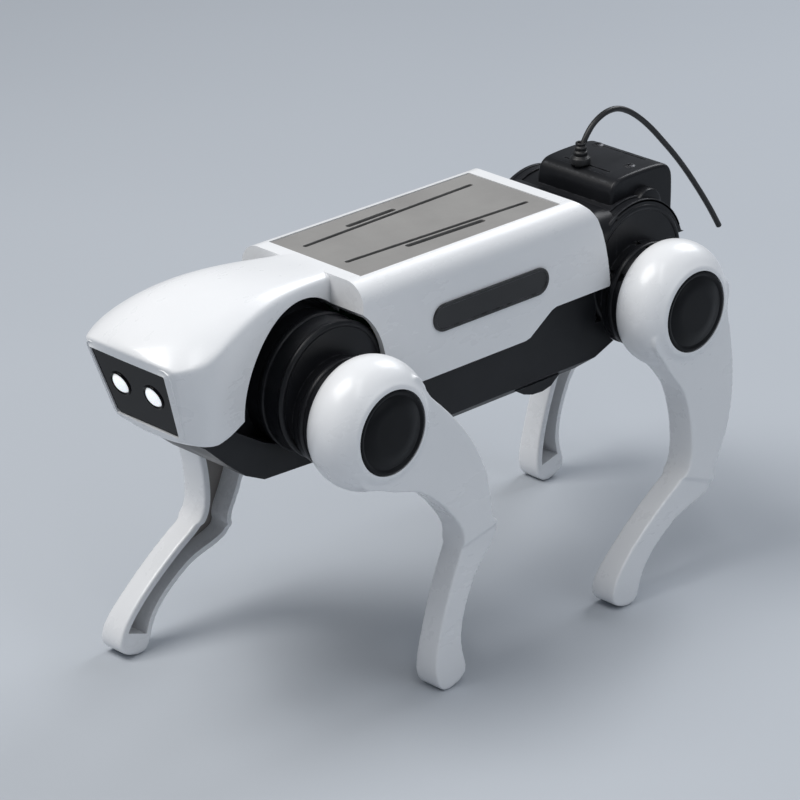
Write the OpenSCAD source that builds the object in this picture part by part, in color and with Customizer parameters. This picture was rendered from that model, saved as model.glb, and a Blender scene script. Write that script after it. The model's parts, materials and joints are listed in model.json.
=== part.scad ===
// Toy quadruped robot dog with one motor that rocks all four legs.
// Frame: +Z up, the dog faces -Y, its left side is +X, and the feet stand on z = 0.
// Lengths along the body are stations, measured back from the front edge of the top panel.

/* [Body] */
// Length of the grey top panel
panel_len = 67; // [66:0.5:68]
// Width of the grey top panel
panel_w = 31; // [28:1:32]
// Height of the flat back above the ground
back_z = 102; // [101.5:0.1:102.5]
// Width of the white body shell
shell_w = 41; // [40.5:0.1:42]
// Radius of the long top edges of the body shell
shell_r = 5.5; // [3:0.5:7]
// Wall of the moulded shells
wall = 1.6; // [1.2:0.1:1.8]

/* [Legs] */
// Station of the front hips
front_hip_s = -11.7; // [-12:0.1:-11.5]
// Station of the rear hips
rear_hip_s = 92; // [91.8:0.1:92.2]
// Width across the hip caps
hip_w = 76; // [75.8:0.1:76.4]
// Leg length from hip to sole
leg_len = 76.4; // [76:0.1:76.8]
// Swing of each leg to either side of its middle position
swing = 17; // [15:0.5:18]
// Diameter of the black hip caps
hip_cap_d = 20.4; // [18:0.2:21]

/* [Drive] */
// Gear module
gear_m = 0.4; // [0.4:0.1:0.4]
// Teeth of the motor pinion
pinion_teeth = 10; // [10:1:10]
// Teeth of each small gear
small_teeth = 12; // [12:1:12]
// Teeth of each large gear
big_teeth = 42; // [42:1:42]
// Distance from a hip axis to the pin on its lever
lever_r = 7; // [6.5:0.1:7.2]
// Running clearance between a shaft and its hole
fit_gap = 0.06; // [0.04:0.01:0.09]

/* [Power] */
// Diameter of a battery cell
cell_d = 14.5; // [14:0.1:14.5]
// Length of a battery cell
cell_len = 50.5; // [49:0.5:50.5]
// Travel of the power switch
switch_travel = 3; // [2:0.5:3]

/* [Hidden] */
$fn = 48;

mid_s = 34.77;           // station that lies over the origin
eps = 0.01;
shell_half = shell_w / 2;
hip_x = hip_w / 2;
// The sole has a flat facet on each side that lies on the ground at the end of a swing
sole_half = 1;
facet_len = 2.6;
facet_rise = facet_len * tan(swing);
hip_z = leg_len * cos(swing) + sole_half * sin(swing);
foot_side = [[4.7, 5.6], [4.6, 2.6], [sole_half + facet_len, facet_rise], [sole_half, 0]];
// Leg outline about the hip axis, [back, up]: down the front edge, round the foot, up the rear edge
leg_shape = concat(
    [[-11, -6], [-4.5, -14.5], [3.8, -20.5], [8.8, -27], [12.2, -34], [13.6, -39.5],
        [12.4, -43.6], [8, -49], [3.4, -55.2], [-0.6, -61.4], [-3.6, -67]],
    [for (i = [0:3]) [-foot_side[i][0], foot_side[i][1] - leg_len]],
    [for (i = [3:-1:0]) [foot_side[i][0], foot_side[i][1] - leg_len]],
    [[5.2, -66.4], [8.6, -59.8], [14.4, -53.2], [21.2, -48.6], [24, -46], [24.4, -43.2],
        [23.4, -40.8], [24.6, -34], [24.8, -27], [23, -18], [19.4, -9], [14.5, 0], [10, 8]]);
front_hip = [front_hip_s, hip_z];
rear_hip = [rear_hip_s, hip_z];

// Stations across the body, from the middle outward
link_x = [15.2, 16.4];   // long link bars
lever_x = [13, 14.8];    // levers on the hip axles
drum_x = 18.4;           // flat end of a hip drum
drum_end = 1.4;          // thickness of that end
boss_x = 23.4;           // end of the narrow boss outside the drum
leg_in_x = 24;           // inner face of a hip
axle_out_x = 34;         // outer end of a hip axle
axle_r = 2;

// Front and rear drums
front_drum = [front_hip_s, 78];
front_drum_r = 16.4;
rear_drum = [rear_hip_s, 79.5];
rear_drum_r = 15.8;
boss_r = 13;
arch = [-16.5, 79.5];    // centre of the wheel-arch cut in the white shells
arch_r = 19.8;
core_x = 6.6;            // half width of the black core behind the arches

// Gear train, given as [station, height] of each axis
motor_at = [98, 93.5];
crank_at = [75.5, 72];
dist_first = (pinion_teeth + big_teeth) * gear_m / 2;
dist_next = (small_teeth + big_teeth) * gear_m / 2;
first_dir = 228.7;       // direction of the first idler seen from the motor
first_at = motor_at + dist_first * [cos(first_dir), sin(first_dir)];
half_gap = norm(crank_at - first_at) / 2;
gap_dir = angle(first_at, crank_at);
second_at = (first_at + crank_at) / 2
    + sqrt(dist_next * dist_next - half_gap * half_gap) * [cos(gap_dir - 90), sin(gap_dir - 90)];
plane_inner = [0.9, 2.3];
plane_mid = [13.4, 14.8];
plane_outer = [15, 16.4];

// Levers and cranks at rest: left rear leg forward, right rear leg back
pin_left = rear_hip + lever_r * [-sin(swing), -cos(swing)];
pin_right = rear_hip + lever_r * [sin(swing), -cos(swing)];
front_pin_left = front_hip + lever_r * [-sin(swing), cos(swing)];
front_pin_right = front_hip + lever_r * [sin(swing), cos(swing)];
crank_r = (norm(pin_right - crank_at) - norm(pin_left - crank_at)) / 2;
crank_pin_left = crank_at - crank_r * toward(crank_at, pin_left);
crank_pin_right = crank_at + crank_r * toward(crank_at, pin_right);
rod_x = [6.7, 8.1];
disc_x = [4.8, 6.4];

// Antenna wire, from its grommet on the gearbox cover
antenna_at = [0, 90.6, 0];
wire_r = 0.75;
wire_route = [[0, 90.6, 101.3], [0, 90.6, 104.8], [0, 92.2, 108.4], [0, 95.2, 111.6], [0, 99.4, 113.4],
    [0, 103.8, 113.4], [0, 108.2, 111.6], [0, 112.6, 108.6], [0, 117, 104.8], [0, 121.4, 100.4],
    [0, 125.8, 95.8], [0, 130, 91], [0, 134, 86], [0, 137.8, 81], [0, 141.2, 76.2], [0, 144.2, 71.6]];

// Battery bay
cell_x = 7.4;
cell_z = 67;
bay_s = [9.5, 60];
belly_z = 58;
chassis_half = 18.6;
chassis_s = [5.2, 77];
rear_screw = [6, 91];    // screws from below into each half of a drum, [across, station]
front_screw = [5.5, -12];

function toward(a, b) = (b - a) / norm(b - a);
function angle(a, b) = atan2(b[1] - a[1], b[0] - a[0]);

// ---- helpers -------------------------------------------------------------

module placed() translate([0, -mid_s, 0]) children();
module right_side() mirror([1, 0, 0]) children();

// Extrudes a [station, height] outline from x0 to x1
module slab(x0, x1) translate([x0, 0, 0]) rotate([90, 0, 90]) linear_extrude(x1 - x0) children();

// Round bar along X at [station, height]
module bar(at, r, x0, x1)
    translate([x0, at[0], at[1]]) rotate([0, 90, 0]) cylinder(r = r, h = x1 - x0);

// Extrudes an [across, height] outline from station s0 to s1
module along(s0, s1) translate([0, s1, 0]) rotate([90, 0, 0]) linear_extrude(s1 - s0) children();

module box(low, high) translate(low) cube(high - low);

// Arch section of the body shell
module shell_section(half, top, r, bottom) {
    translate([-half, bottom]) square([2 * half, top - r - bottom]);
    translate([r - half, bottom]) square([2 * (half - r), top - bottom]);
    for (side = [-1, 1]) translate([side * (half - r), top - r]) circle(r);
}

// Strip with round ends between two points
module strip(a, b, w) {
    translate(a) circle(w / 2);
    translate(b) circle(w / 2);
    translate(a) rotate(angle(a, b)) translate([0, -w / 2]) square([norm(b - a), w]);
}

// Straight-sided gear teeth, with one tooth pointing at angle turn
function gear_points(teeth, turn) = [
    for (i = [0:teeth - 1], k = [0:3])
        let (pitch = 360 / teeth,
             part = [-0.3, -0.11, 0.11, 0.3][k],
             r = teeth * gear_m / 2 + (k == 0 || k == 3 ? -1.1 : 0.75) * gear_m)
        r * [cos(turn + pitch * (i + part)), sin(turn + pitch * (i + part))]];

module gear(at, teeth, turn, x) slab(x[0], x[1]) translate(at) polygon(gear_points(teeth, turn));

// ---- head ----------------------------------------------------------------

// Ball centres of the right half of the head: [across, station, height]
head_balls = [[10.5, -56, 92.6], [8.6, -48.2, 76], [15.6, -50.5, 92.6], [14.6, -44, 76.5],
    [13.6, -36, 99.4], [12.6, -34, 76.5], [9.6, -18, 100.8], [9.6, -18, 76.5],
    [5.6, 2, 98.8], [5.6, 2, 76.5], [4, -48, 98.2], [4, -34, 101.4], [4, -18, 101.2]];
head_ball_r = 2.9;

module head_blend(r) hull() for (p = head_balls, side = [-1, 1])
    translate([side * p[0], p[1], p[2]]) sphere(r, $fn = 20);

module visor_shape(grow) {
    half_top = 12.4 + grow;
    half_low = 10.4 + grow;
    polygon([[-half_low, -20.4 - grow], [half_low, -20.4 - grow],
        [half_top, -2.4 + grow], [-half_top, -2.4 + grow]]);
}

module face_frame() translate([0, -59.1, 95.2]) rotate([19, 0, 0]) children();

module head_shell() color("white") placed() difference() {
    head_blend(head_ball_r);
    head_blend(head_ball_r - wall);
    box([-30, -4, 60], [30, 10, 110]);
    bar(arch, arch_r, -30, 30);
    slab(-30, 30) polygon([[-60, 60], [-60, 74], [-47, 72.8], [-36, 76.5], [0, 90], [0, 60]]);
    slab(-12.7, 12.7) polygon([[-49, 60], [-49, 76.4], [-36, 76.4], [0, 90], [0, 60]]);
    face_frame() translate([0, 3, 0]) rotate([90, 0, 0]) linear_extrude(8) visor_shape(0.15);
}

module visor() color([0.03, 0.03, 0.04]) placed() face_frame() difference() {
    translate([0, 2, 0]) rotate([90, 0, 0]) linear_extrude(1.6) visor_shape(0);
    for (side = [-1, 1]) translate([side * 5.6, 3, -10.6]) rotate([90, 0, 0]) cylinder(r = 2.7, h = 4);
}

module eye_lens() face_frame() translate([5.6, 1.9, -10.6]) rotate([90, 0, 0]) {
    cylinder(r = 2.65, h = 1.6);
    translate([0, 0, 1.6]) intersection() {
        translate([0, 0, -3.4]) sphere(4.3);
        cylinder(r = 2.65, h = 2);
    }
}
module eye_lens_left() color("white") placed() eye_lens();
module eye_lens_right() color("white") placed() right_side() eye_lens();

module eye_leds() color("lightyellow") placed() face_frame() for (side = [-1, 1])
    translate([side * 5.6, 2.1, -10.6]) rotate([-90, 0, 0]) {
        cylinder(r = 1.5, h = 3);
        translate([0, 0, 3]) cylinder(r = 1.9, h = 1);
        for (leg = [-1, 1]) translate([leg * 0.7 - 0.2, -0.2, 4]) cube([0.4, 0.4, 3]);
    }

module chin_cover() color([0.08, 0.08, 0.09]) placed() difference() {
    slab(-12.5, 12.5) polygon([[-48.4, 73.6], [-46, 72], [-40, 66.5], [-34, 61.6], [-28, 58.8],
        [-8, 58], [4.8, 58], [4.8, 61], [-10, 61], [-28, 68], [-38, 74], [-44, 76]]);
    slab(-11, 11) polygon([[-45, 73.2], [-40, 68.4], [-34, 63.4], [-30, 61.4], [-30, 68], [-40, 74.5]]);
    bar(front_drum, front_drum_r + 0.2, -30, 30);
    bar(arch, arch_r - 0.4, -core_x - 0.2, core_x + 0.2);
    for (side = [-1, 1]) translate([side * front_screw[0], front_screw[1], 50]) cylinder(r = 1.1, h = 12);
}

// ---- body ----------------------------------------------------------------

module back_shell() color("white") placed() difference() {
    intersection() {
        along(-4, 81) shell_section(shell_half, back_z, shell_r, 60);
        slab(-30, 30) polygon([[-4, 70], [-4, 103], [70.5, 103], [70.5, back_z], [73, 98], [77, 90],
            [80, 78.6], [60, 78.6], [51.5, 72.7], [4, 72.7]]);
    }
    along(-4 + wall, 82) shell_section(shell_half - wall, back_z - wall - 1, shell_r - wall, 50);
    box([-7, -5, 60], [7, 0, 98]);
    bar(arch, arch_r, -30, 30);
    box([-panel_w / 2, 0, back_z - 1.3], [panel_w / 2, panel_len, back_z + 1]);
    box([2 - panel_w / 2, 2, 90], [panel_w / 2 - 2, panel_len - 2, back_z + 1]);
}

// Two long grooves that spread a little towards the tail, each with a thick short one outside it
module groove(from, to, half) linear_extrude(3) hull() {
    translate(from) circle(half);
    translate(to) circle(half);
}
module vent_panel() color([0.58, 0.57, 0.56]) placed() difference() {
    box([0.12 - panel_w / 2, 0.12, back_z - 1.25], [panel_w / 2 - 0.12, panel_len - 0.12, back_z - 0.2]);
    translate([0, 0, back_z - 0.8]) {
        groove([-7.8, 4.6], [-9.5, 61.5], 0.62);
        groove([-10.2, 21], [-10.6, 36], 0.75);
        groove([6.3, 4.6], [8.3, 62.5], 0.62);
        groove([8.9, 22], [9.6, 46], 0.8);
    }
}

module badge() slab(shell_half, shell_half + 0.8) {
    strip([22, 87], [54, 87], 7);
}
module badge_left() color([0.1, 0.1, 0.11]) placed() badge();
module badge_right() color([0.1, 0.1, 0.11]) placed() right_side() badge();

module tub_section(top) polygon([[-chassis_half, top], [-chassis_half, belly_z + 2], [2 - chassis_half, belly_z],
    [chassis_half - 2, belly_z], [chassis_half, belly_z + 2], [chassis_half, top]]);

// Side outline of the tub: flat under the battery, then rising to the rear drums
module tub_side(up) slab(-30, 30) polygon([[chassis_s[0] + up, belly_z + up], [72, belly_z + up],
    [86, 63.4 + up], [99, 63.4 + up], [99, 90], [chassis_s[0] + up, 90]]);

module chassis() color([0.08, 0.08, 0.09]) placed() difference() {
    union() {
        intersection() {
            union() {
                along(chassis_s[0], chassis_s[1]) tub_section(80);
                along(chassis_s[1] - 1, 87) tub_section(69);
            }
            tub_side(0);
        }
        slab(-10, 10) polygon([[66, belly_z], [97, belly_z], [97, belly_z + wall], [78, belly_z + wall],
            [78, belly_z + 3], [72, belly_z + 0.5]]);
        for (side = [-1, 1]) slab(side * 16 - 2, side * 16 + 2)
            polygon([[49.5, 59], [52.5, 57.2], [55.5, 56.3], [59, 56.1], [62, 56.7], [65, 59]]);
    }
    difference() {
        intersection() {
            box([wall - chassis_half, chassis_s[0], belly_z], [chassis_half - wall, 99, 90]);
            tub_side(wall);
        }
        for (side = [-1, 1]) slab(side * 3.6 - 0.7, side * 3.6 + 0.7) {
            translate([73.2, 59]) square([4.6, crank_at[1] - 59]);
            translate(crank_at) circle(2.3);
        }
    }
    box([-15.7, 8, 50], [15.7, 61.8, 61]);
    box([-4.2, 66.8, 50], [4.2, 71.2, 61]);
    for (side = [-1, 1]) box([side * 15.8 - 1.1, 0, 74], [side * 15.8 + 1.1, 8, 84]);
    box([-13, 0, 62], [13, 8, 90]);
    bar(rear_drum, rear_drum_r + 0.2, -30, 30);
    bar(rear_hip, boss_r + 0.6, -30, 30);
    bar(crank_at, 1.25 + fit_gap, -5, 5);
    bar([5, 78], 6, -14, 14);
    for (side = [-1, 1]) translate([side * rear_screw[0], rear_screw[1], 50]) cylinder(r = 1.1, h = 12);
    translate([0, 64.3, 50]) cylinder(r = 1.0, h = 12);
}

module battery_cell() {
    translate([cell_x, bay_s[0], cell_z]) rotate([-90, 0, 0]) cylinder(d = cell_d, h = cell_len - 1.2);
    translate([cell_x, bay_s[0] + cell_len - 1.2, cell_z]) rotate([-90, 0, 0]) cylinder(r = 2.6, h = 1.2);
}
module battery_cell_left() color("goldenrod") placed() battery_cell();
module battery_cell_right() color("goldenrod") placed() right_side() battery_cell();

module battery_contacts() color("silver") placed() for (side = [-1, 1]) {
    translate([side * cell_x - 5, 60.1, 62]) cube([10, 0.4, 10]);
    translate([side * cell_x - 5, 7.1, 62]) cube([10, 0.4, 10]);
    for (i = [0:2]) translate([side * cell_x, 7.5 + i * 0.66, cell_z]) rotate([-90, 0, 0])
        difference() {
            cylinder(r = 3.6 - i * 0.5, h = 0.66);
            translate([0, 0, -1]) cylinder(r = 2.6 - i * 0.5, h = 3);
        }
}

module battery_door() color([0.08, 0.08, 0.09]) placed() difference() {
    union() {
        box([-15.5, 8.2, belly_z], [15.5, 61.6, belly_z + 1.6]);
        box([-4, 61.6, belly_z - 1.2], [4, 66.4, belly_z - 0.05]);
        box([-4, 60, belly_z - 1.2], [4, 61.6, belly_z]);
    }
    translate([0, 64.3, 50]) cylinder(r = 1.1, h = 12);
    for (i = [0:4]) box([-7, 14 + i * 1.6, belly_z - 1], [7, 14.8 + i * 1.6, belly_z + 0.4]);
}

module screw(head_r, shank_r, length) {
    difference() {
        cylinder(r = head_r, h = 1);
        for (turn = [0, 90]) rotate(turn) translate([-head_r * 0.7, -0.2, -eps]) cube([head_r * 1.4, 0.4, 0.5]);
    }
    translate([0, 0, 1]) cylinder(r = shank_r, h = length);
}
module battery_door_screw() color("dimgray") placed() translate([0, 64.3, belly_z - 2.2]) screw(1.8, 0.95, 4.5);

module shell_screws() color("dimgray") placed() for (side = [-1, 1]) {
    translate([side * rear_screw[0], rear_screw[1], belly_z - 1]) screw(1.9, 1, 3.3);
    translate([side * front_screw[0], front_screw[1], belly_z - 1]) screw(1.9, 1, 5);
}

module receiver_board() color("darkgreen") placed() difference() {
    box([-12, 14, 82], [12, 56, 83.2]);
    for (x = [-9.5, 9.5], s = [17, 53]) translate([x, s, 80]) cylinder(r = 1.1, h = 5);
}
module board_parts() color([0.12, 0.12, 0.13]) placed() {
    box([-3, 24, 83.2], [3, 33, 84.7]);
    box([-2, 40, 83.2], [2, 44, 84.4]);
    translate([7, 30, 83.2]) cylinder(r = 2.5, h = 6);
    translate([7, 40, 83.2]) cylinder(r = 2, h = 5);
    box([-9, 36, 83.2], [-5, 47, 86]);
}

module switch_body() color("silver") placed() difference() {
    box([-5, 66.4, 59.7], [5, 71.6, 62.9]);
    box([-4, 67.2, 59], [4, 70.8, 61.8]);
}
module switch_slider() color([0.08, 0.08, 0.09]) placed()
    translate([-switch_travel / 2, 0, 0]) {
        box([-1.4, 67.6, 57.2], [1.4, 70.4, 60.6]);
        box([-2.3, 67.4, 60.1], [2.3, 70.6, 61.5]);
    }

// ---- motor and gears -----------------------------------------------------

module motor_section() intersection() {
    circle(10);
    square([21, 15], center = true);
}
module motor_can() color("silver") placed() difference() {
    slab(-7, 12.5) translate(motor_at) motor_section();
    bar(motor_at, 1 + fit_gap, -20, 20);
    bar(motor_at, 6, -5, 9);
}
module motor_end_cap() color("white") placed() difference() {
    slab(-9, -7) translate(motor_at) motor_section();
    bar(motor_at, 1 + fit_gap, -20, 20);
}
module motor_shaft() color("silver") placed() {
    bar(motor_at, 1, -9.4, 15.4);
    bar(motor_at, 5.4, -4, 8);
}
module motor_pinion() color("gold") placed() difference() {
    gear(motor_at, pinion_teeth, angle(motor_at, first_at), plane_mid);
    bar(motor_at, 1, 0, 30);
}

// Turn of a large gear whose gap meets the tooth of the gear at "from"
function meet(from, at) = angle(from, at) + 180 + 180 / big_teeth;

module gear_first() color("ivory") placed() difference() {
    union() {
        gear(first_at, big_teeth, meet(motor_at, first_at), plane_mid);
        gear(first_at, small_teeth, angle(first_at, second_at), plane_outer);
        bar(first_at, 1.7, plane_mid[1], plane_outer[0]);
    }
    bar(first_at, 1 + fit_gap, 0, 30);
}
module gear_second() color("ivory") placed() difference() {
    union() {
        gear(second_at, big_teeth, meet(first_at, second_at), plane_outer);
        gear(second_at, small_teeth, angle(second_at, crank_at), plane_inner);
        bar(second_at, 1.45, plane_inner[1], plane_outer[0]);
    }
    bar(second_at, 1 + fit_gap, 0, 30);
}
module gear_final() color("ivory") placed() difference() {
    gear(crank_at, big_teeth, meet(second_at, crank_at), plane_inner);
    bar(crank_at, 1.25, 0, 30);
}
module idler_pins() color("silver") placed() {
    bar(first_at, 1, 13.2, drum_x);
    bar(second_at, 1, 0.2, drum_x);
}
module crank_shaft() color("silver") placed() bar(crank_at, 1.25, -disc_x[1], disc_x[1]);

module crank(pin_at) difference() {
    union() {
        bar(crank_at, 4.2, disc_x[0], disc_x[1]);
        bar(pin_at, 0.9, disc_x[1], rod_x[1] + 0.2);
    }
    bar(crank_at, 1.25, 0, disc_x[1]);
}
module crank_left() color("dimgray") placed() crank(crank_pin_left);
module crank_right() color("dimgray") placed() right_side() crank(crank_pin_right);

// Rod with an eye at each end; the first eye runs on a crank pin
module rod(from, to) difference() {
    slab(rod_x[0], rod_x[1]) {
        strip(from, to, 2.2);
        translate(from) circle(2);
        translate(to) circle(2.2);
    }
    bar(from, 0.9 + fit_gap, 0, 30);
    bar(to, 1.05, 0, 30);
}
module rod_left() color("silver") placed() rod(crank_pin_left, pin_left);
module rod_right() color("silver") placed() right_side() rod(crank_pin_right, pin_right);

// Long link: running fit on the rear lever pin, open eye at the front lever pin
module link(rear, front) difference() {
    slab(link_x[0], link_x[1]) {
        strip(rear, front, 2.6);
        translate(rear) circle(2.1);
        translate(front) circle(2.9);
    }
    bar(rear, 1 + fit_gap, 0, 30);
    bar(front, 1.75, 0, 30);
}
module link_left() color("dimgray") placed() link(pin_left, front_pin_left);
module link_right() color("dimgray") placed() right_side() link(pin_right, front_pin_right);

// ---- hip housings --------------------------------------------------------

module front_drum_half() difference() {
    union() {
        bar(front_drum, front_drum_r, 0, drum_x);
        bar(arch, arch_r - 0.6, 0, core_x);
        bar(front_hip, boss_r, drum_x, boss_x);
    }
    bar(arch, arch_r - 0.6 - wall, -1, core_x - wall);
    bar(front_drum, front_drum_r - wall, -1, drum_x - drum_end);
    bar(front_hip, boss_r - wall, drum_x, boss_x - drum_end);
    bar(front_hip, axle_r + fit_gap, -1, 30);
    box([14.4, -8, 74], [17, 10, 84]);
    translate([front_screw[0], front_screw[1], 55]) cylinder(r = 1.05, h = 8.4);
}
module front_drum_left() color([0.09, 0.09, 0.1]) placed() front_drum_half();
module front_drum_right() color([0.09, 0.09, 0.1]) placed() right_side() front_drum_half();

module rear_drum_half(pins) difference() {
    union() {
        bar(rear_drum, rear_drum_r, 0, drum_x);
        bar(rear_hip, boss_r + 0.4, 0, drum_x);
        bar(rear_hip, boss_r, drum_x, boss_x);
        translate([rear_screw[0], rear_screw[1], belly_z + wall]) cylinder(r = 2.6, h = 5);
    }
    bar(rear_drum, rear_drum_r - wall, -1, drum_x - drum_end);
    bar(rear_hip, boss_r + 0.4 - wall, -1, drum_x - drum_end);
    bar(rear_hip, boss_r - wall, drum_x, boss_x - drum_end);
    bar(rear_hip, axle_r + fit_gap, -1, 30);
    box([-1, 60, 62], [17, 90, 96]);
    box([-1, 60, 50], [17, 77, 62]);
    box([-1, 84.3, 84.3], [18.3, 120, 120]);
    box([-1, 60, 50], [17, 80.6, 70]);
    if (pins) {
        bar(first_at, 1, 10, 30);
        bar(second_at, 1, 10, 30);
    }
    translate([rear_screw[0], rear_screw[1], 55]) cylinder(r = 1.05, h = 8.4);
}
module rear_drum_left() color([0.09, 0.09, 0.1]) placed() rear_drum_half(true);
module rear_drum_right() color([0.09, 0.09, 0.1]) placed() right_side() rear_drum_half(false);

// Black front of the gearbox, which closes the rear end of the body shell
module gearbox_front() color([0.09, 0.09, 0.1]) placed() difference() {
    along(69.2, 84.3) shell_section(18.7, 96, 5, 80.2);
    along(69.2 + wall, 85) shell_section(18.7 - wall, 96 - wall, 5 - wall, 70);
    bar(rear_drum, rear_drum_r + 0.2, 16.9, 30);
    bar(rear_drum, rear_drum_r + 0.2, -30, -16.9);
}

module gearbox_cover() color([0.1, 0.1, 0.11]) placed() difference() {
    union() {
        slab(-18.2, 18.2) intersection() {
            translate([84.5, 84.5]) square([26, 12.3]);
            translate(rear_drum) circle(17.2);
        }
        slab(-10.8, 14.2) {
            translate([86.6, 84.5]) square([22.8, 14.5]);
            translate([88.6, 84.5]) square([18.8, 18]);
            for (s = [88.6, 107.4]) translate([s, 99]) scale([0.571, 1]) circle(3.5);
        }
        bar(motor_at, 4.6, 13, 16.6);
    }
    slab(-17, 17) intersection() {
        translate([84, 84]) square([26, 11.4]);
        translate(rear_drum) circle(15.8);
    }
    slab(-9.6, 13) translate([87.8, 84]) square([20.4, 17.2]);
    bar(motor_at, 3.2, 12.9, 15.6);
    bar(first_at, 1.1, 12, 20);
    box([-18, 84, 84], [18, 100, 86]);
    translate([antenna_at[0], antenna_at[1], 95]) cylinder(r = 1.5, h = 12);
}

// ---- antenna -------------------------------------------------------------

module antenna_grommet() color([0.05, 0.05, 0.05]) placed() translate(antenna_at) difference() {
    union() {
        translate([0, 0, 101.2]) cylinder(r = 1.5, h = 1.3);
        translate([0, 0, 102.5]) cylinder(r1 = 2.4, r2 = 1.5, h = 2);
    }
    translate([0, 0, 100]) cylinder(r = 0.75, h = 6);
}

wire_sides = 8;

// Direction of the route at point i
function heading(i) = let (n = len(wire_route) - 1,
    d = wire_route[min(i + 1, n)] - wire_route[max(i - 1, 0)]) d / norm(d);
function ring(i) = let (t = heading(i), across = [1, 0, 0], other = cross(t, across)) [
    for (k = [0:wire_sides - 1]) wire_route[i]
        + wire_r * (cos(360 * k / wire_sides) * across + sin(360 * k / wire_sides) * other)];
wire_points = [for (i = [0:len(wire_route) - 1]) each ring(i)];
wire_last = (len(wire_route) - 1) * wire_sides;
wire_faces = concat(
    [[for (k = [0:wire_sides - 1]) k]],
    [for (i = [0:len(wire_route) - 2], k = [0:wire_sides - 1])
        let (a = i * wire_sides, b = a + wire_sides, j = (k + 1) % wire_sides)
        [a + j, a + k, b + k, b + j]],
    [[for (k = [wire_sides - 1:-1:0]) wire_last + k]]);

module antenna_wire() color([0.05, 0.05, 0.05]) placed() polyhedron(wire_points, wire_faces);

// ---- legs ----------------------------------------------------------------

leg_x = [28.8, 36.6];
leg_web = 1.6;

// Turns and places what is drawn about a hip axis
module at_hip(hip, turn) translate([0, hip[0], hip[1]]) rotate([turn, 0, 0]) children();

module leg() difference() {
    union() {
        rotate([0, 90, 0]) rotate_extrude($fn = 64) polygon([[0, leg_in_x], [13.4, leg_in_x],
            [14.6, 24.8], [15.6, 26.6], [16.1, 29], [15.9, 31.6], [15, 34], [13.6, 36], [11.8, 37.4],
            [10.8, hip_x], [0, hip_x]]);
        slab(leg_x[0], leg_x[1]) polygon(leg_shape);
    }
    bar([0, 0], axle_r, leg_in_x - 1, axle_out_x);
    bar([0, 0], hip_cap_d / 2 + 0.1, hip_x - 1.2, hip_x + 1);
    slab(leg_in_x - 1, leg_x[1] - leg_web) difference() {
        offset(delta = -1.4) polygon(leg_shape);
        circle(17.6);
        translate([-8, -80]) square([16, 9]);
    }
    bar([0, 0], 12.4, leg_in_x - 1, leg_in_x + 1.5);
}
module hip_cap() bar([0, 0], hip_cap_d / 2, hip_x - 1.2, hip_x);

// Hip axle with its lever; up is 1 for a lever above the axis and -1 for one below
module hip_axle(up, inner_pin) {
    pin = [0, up * lever_r];
    bar([0, 0], axle_r, lever_x[0] - 1.2, axle_out_x);
    slab(lever_x[0], lever_x[1]) {
        strip([0, 0], pin, 3.6);
        circle(3);
    }
    bar(pin, 1, lever_x[1], link_x[1] + 0.3);
    if (inner_pin) bar(pin, 1, rod_x[1] + 0.3, lever_x[0]);
}

module leg_front_left() color("white") placed() at_hip(front_hip, swing) leg();
module leg_front_right() color("white") placed() at_hip(front_hip, -swing) right_side() leg();
module leg_rear_left() color("white") placed() at_hip(rear_hip, -swing) leg();
module leg_rear_right() color("white") placed() at_hip(rear_hip, swing) right_side() leg();

module hip_cap_front_left() color([0.05, 0.05, 0.06]) placed() at_hip(front_hip, swing) hip_cap();
module hip_cap_front_right() color([0.05, 0.05, 0.06]) placed() at_hip(front_hip, -swing) right_side() hip_cap();
module hip_cap_rear_left() color([0.05, 0.05, 0.06]) placed() at_hip(rear_hip, -swing) hip_cap();
module hip_cap_rear_right() color([0.05, 0.05, 0.06]) placed() at_hip(rear_hip, swing) right_side() hip_cap();

module hip_axle_front_left() color("silver") placed() at_hip(front_hip, swing) hip_axle(1, false);
module hip_axle_front_right() color("silver") placed() at_hip(front_hip, -swing) right_side() hip_axle(1, false);
module hip_axle_rear_left() color("silver") placed() at_hip(rear_hip, -swing) hip_axle(-1, true);
module hip_axle_rear_right() color("silver") placed() at_hip(rear_hip, swing) right_side() hip_axle(-1, true);

head_shell();
visor();
eye_lens_left();
eye_lens_right();
eye_leds();
chin_cover();
back_shell();
vent_panel();
badge_left();
badge_right();
chassis();
battery_cell_left();
battery_cell_right();
battery_contacts();
battery_door();
battery_door_screw();
receiver_board();
board_parts();
switch_body();
switch_slider();
motor_can();
motor_end_cap();
motor_shaft();
motor_pinion();
gear_first();
gear_second();
gear_final();
idler_pins();
crank_shaft();
crank_left();
crank_right();
rod_left();
rod_right();
link_left();
link_right();
front_drum_left();
front_drum_right();
rear_drum_left();
rear_drum_right();
gearbox_front();
gearbox_cover();
antenna_grommet();
antenna_wire();
shell_screws();
hip_axle_front_left();
hip_axle_front_right();
hip_axle_rear_left();
hip_axle_rear_right();
leg_front_left();
leg_front_right();
leg_rear_left();
leg_rear_right();
hip_cap_front_left();
hip_cap_front_right();
hip_cap_rear_left();
hip_cap_rear_right();
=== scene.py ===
import json
import math

import bmesh
import bpy
from mathutils import Matrix, Vector


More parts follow.
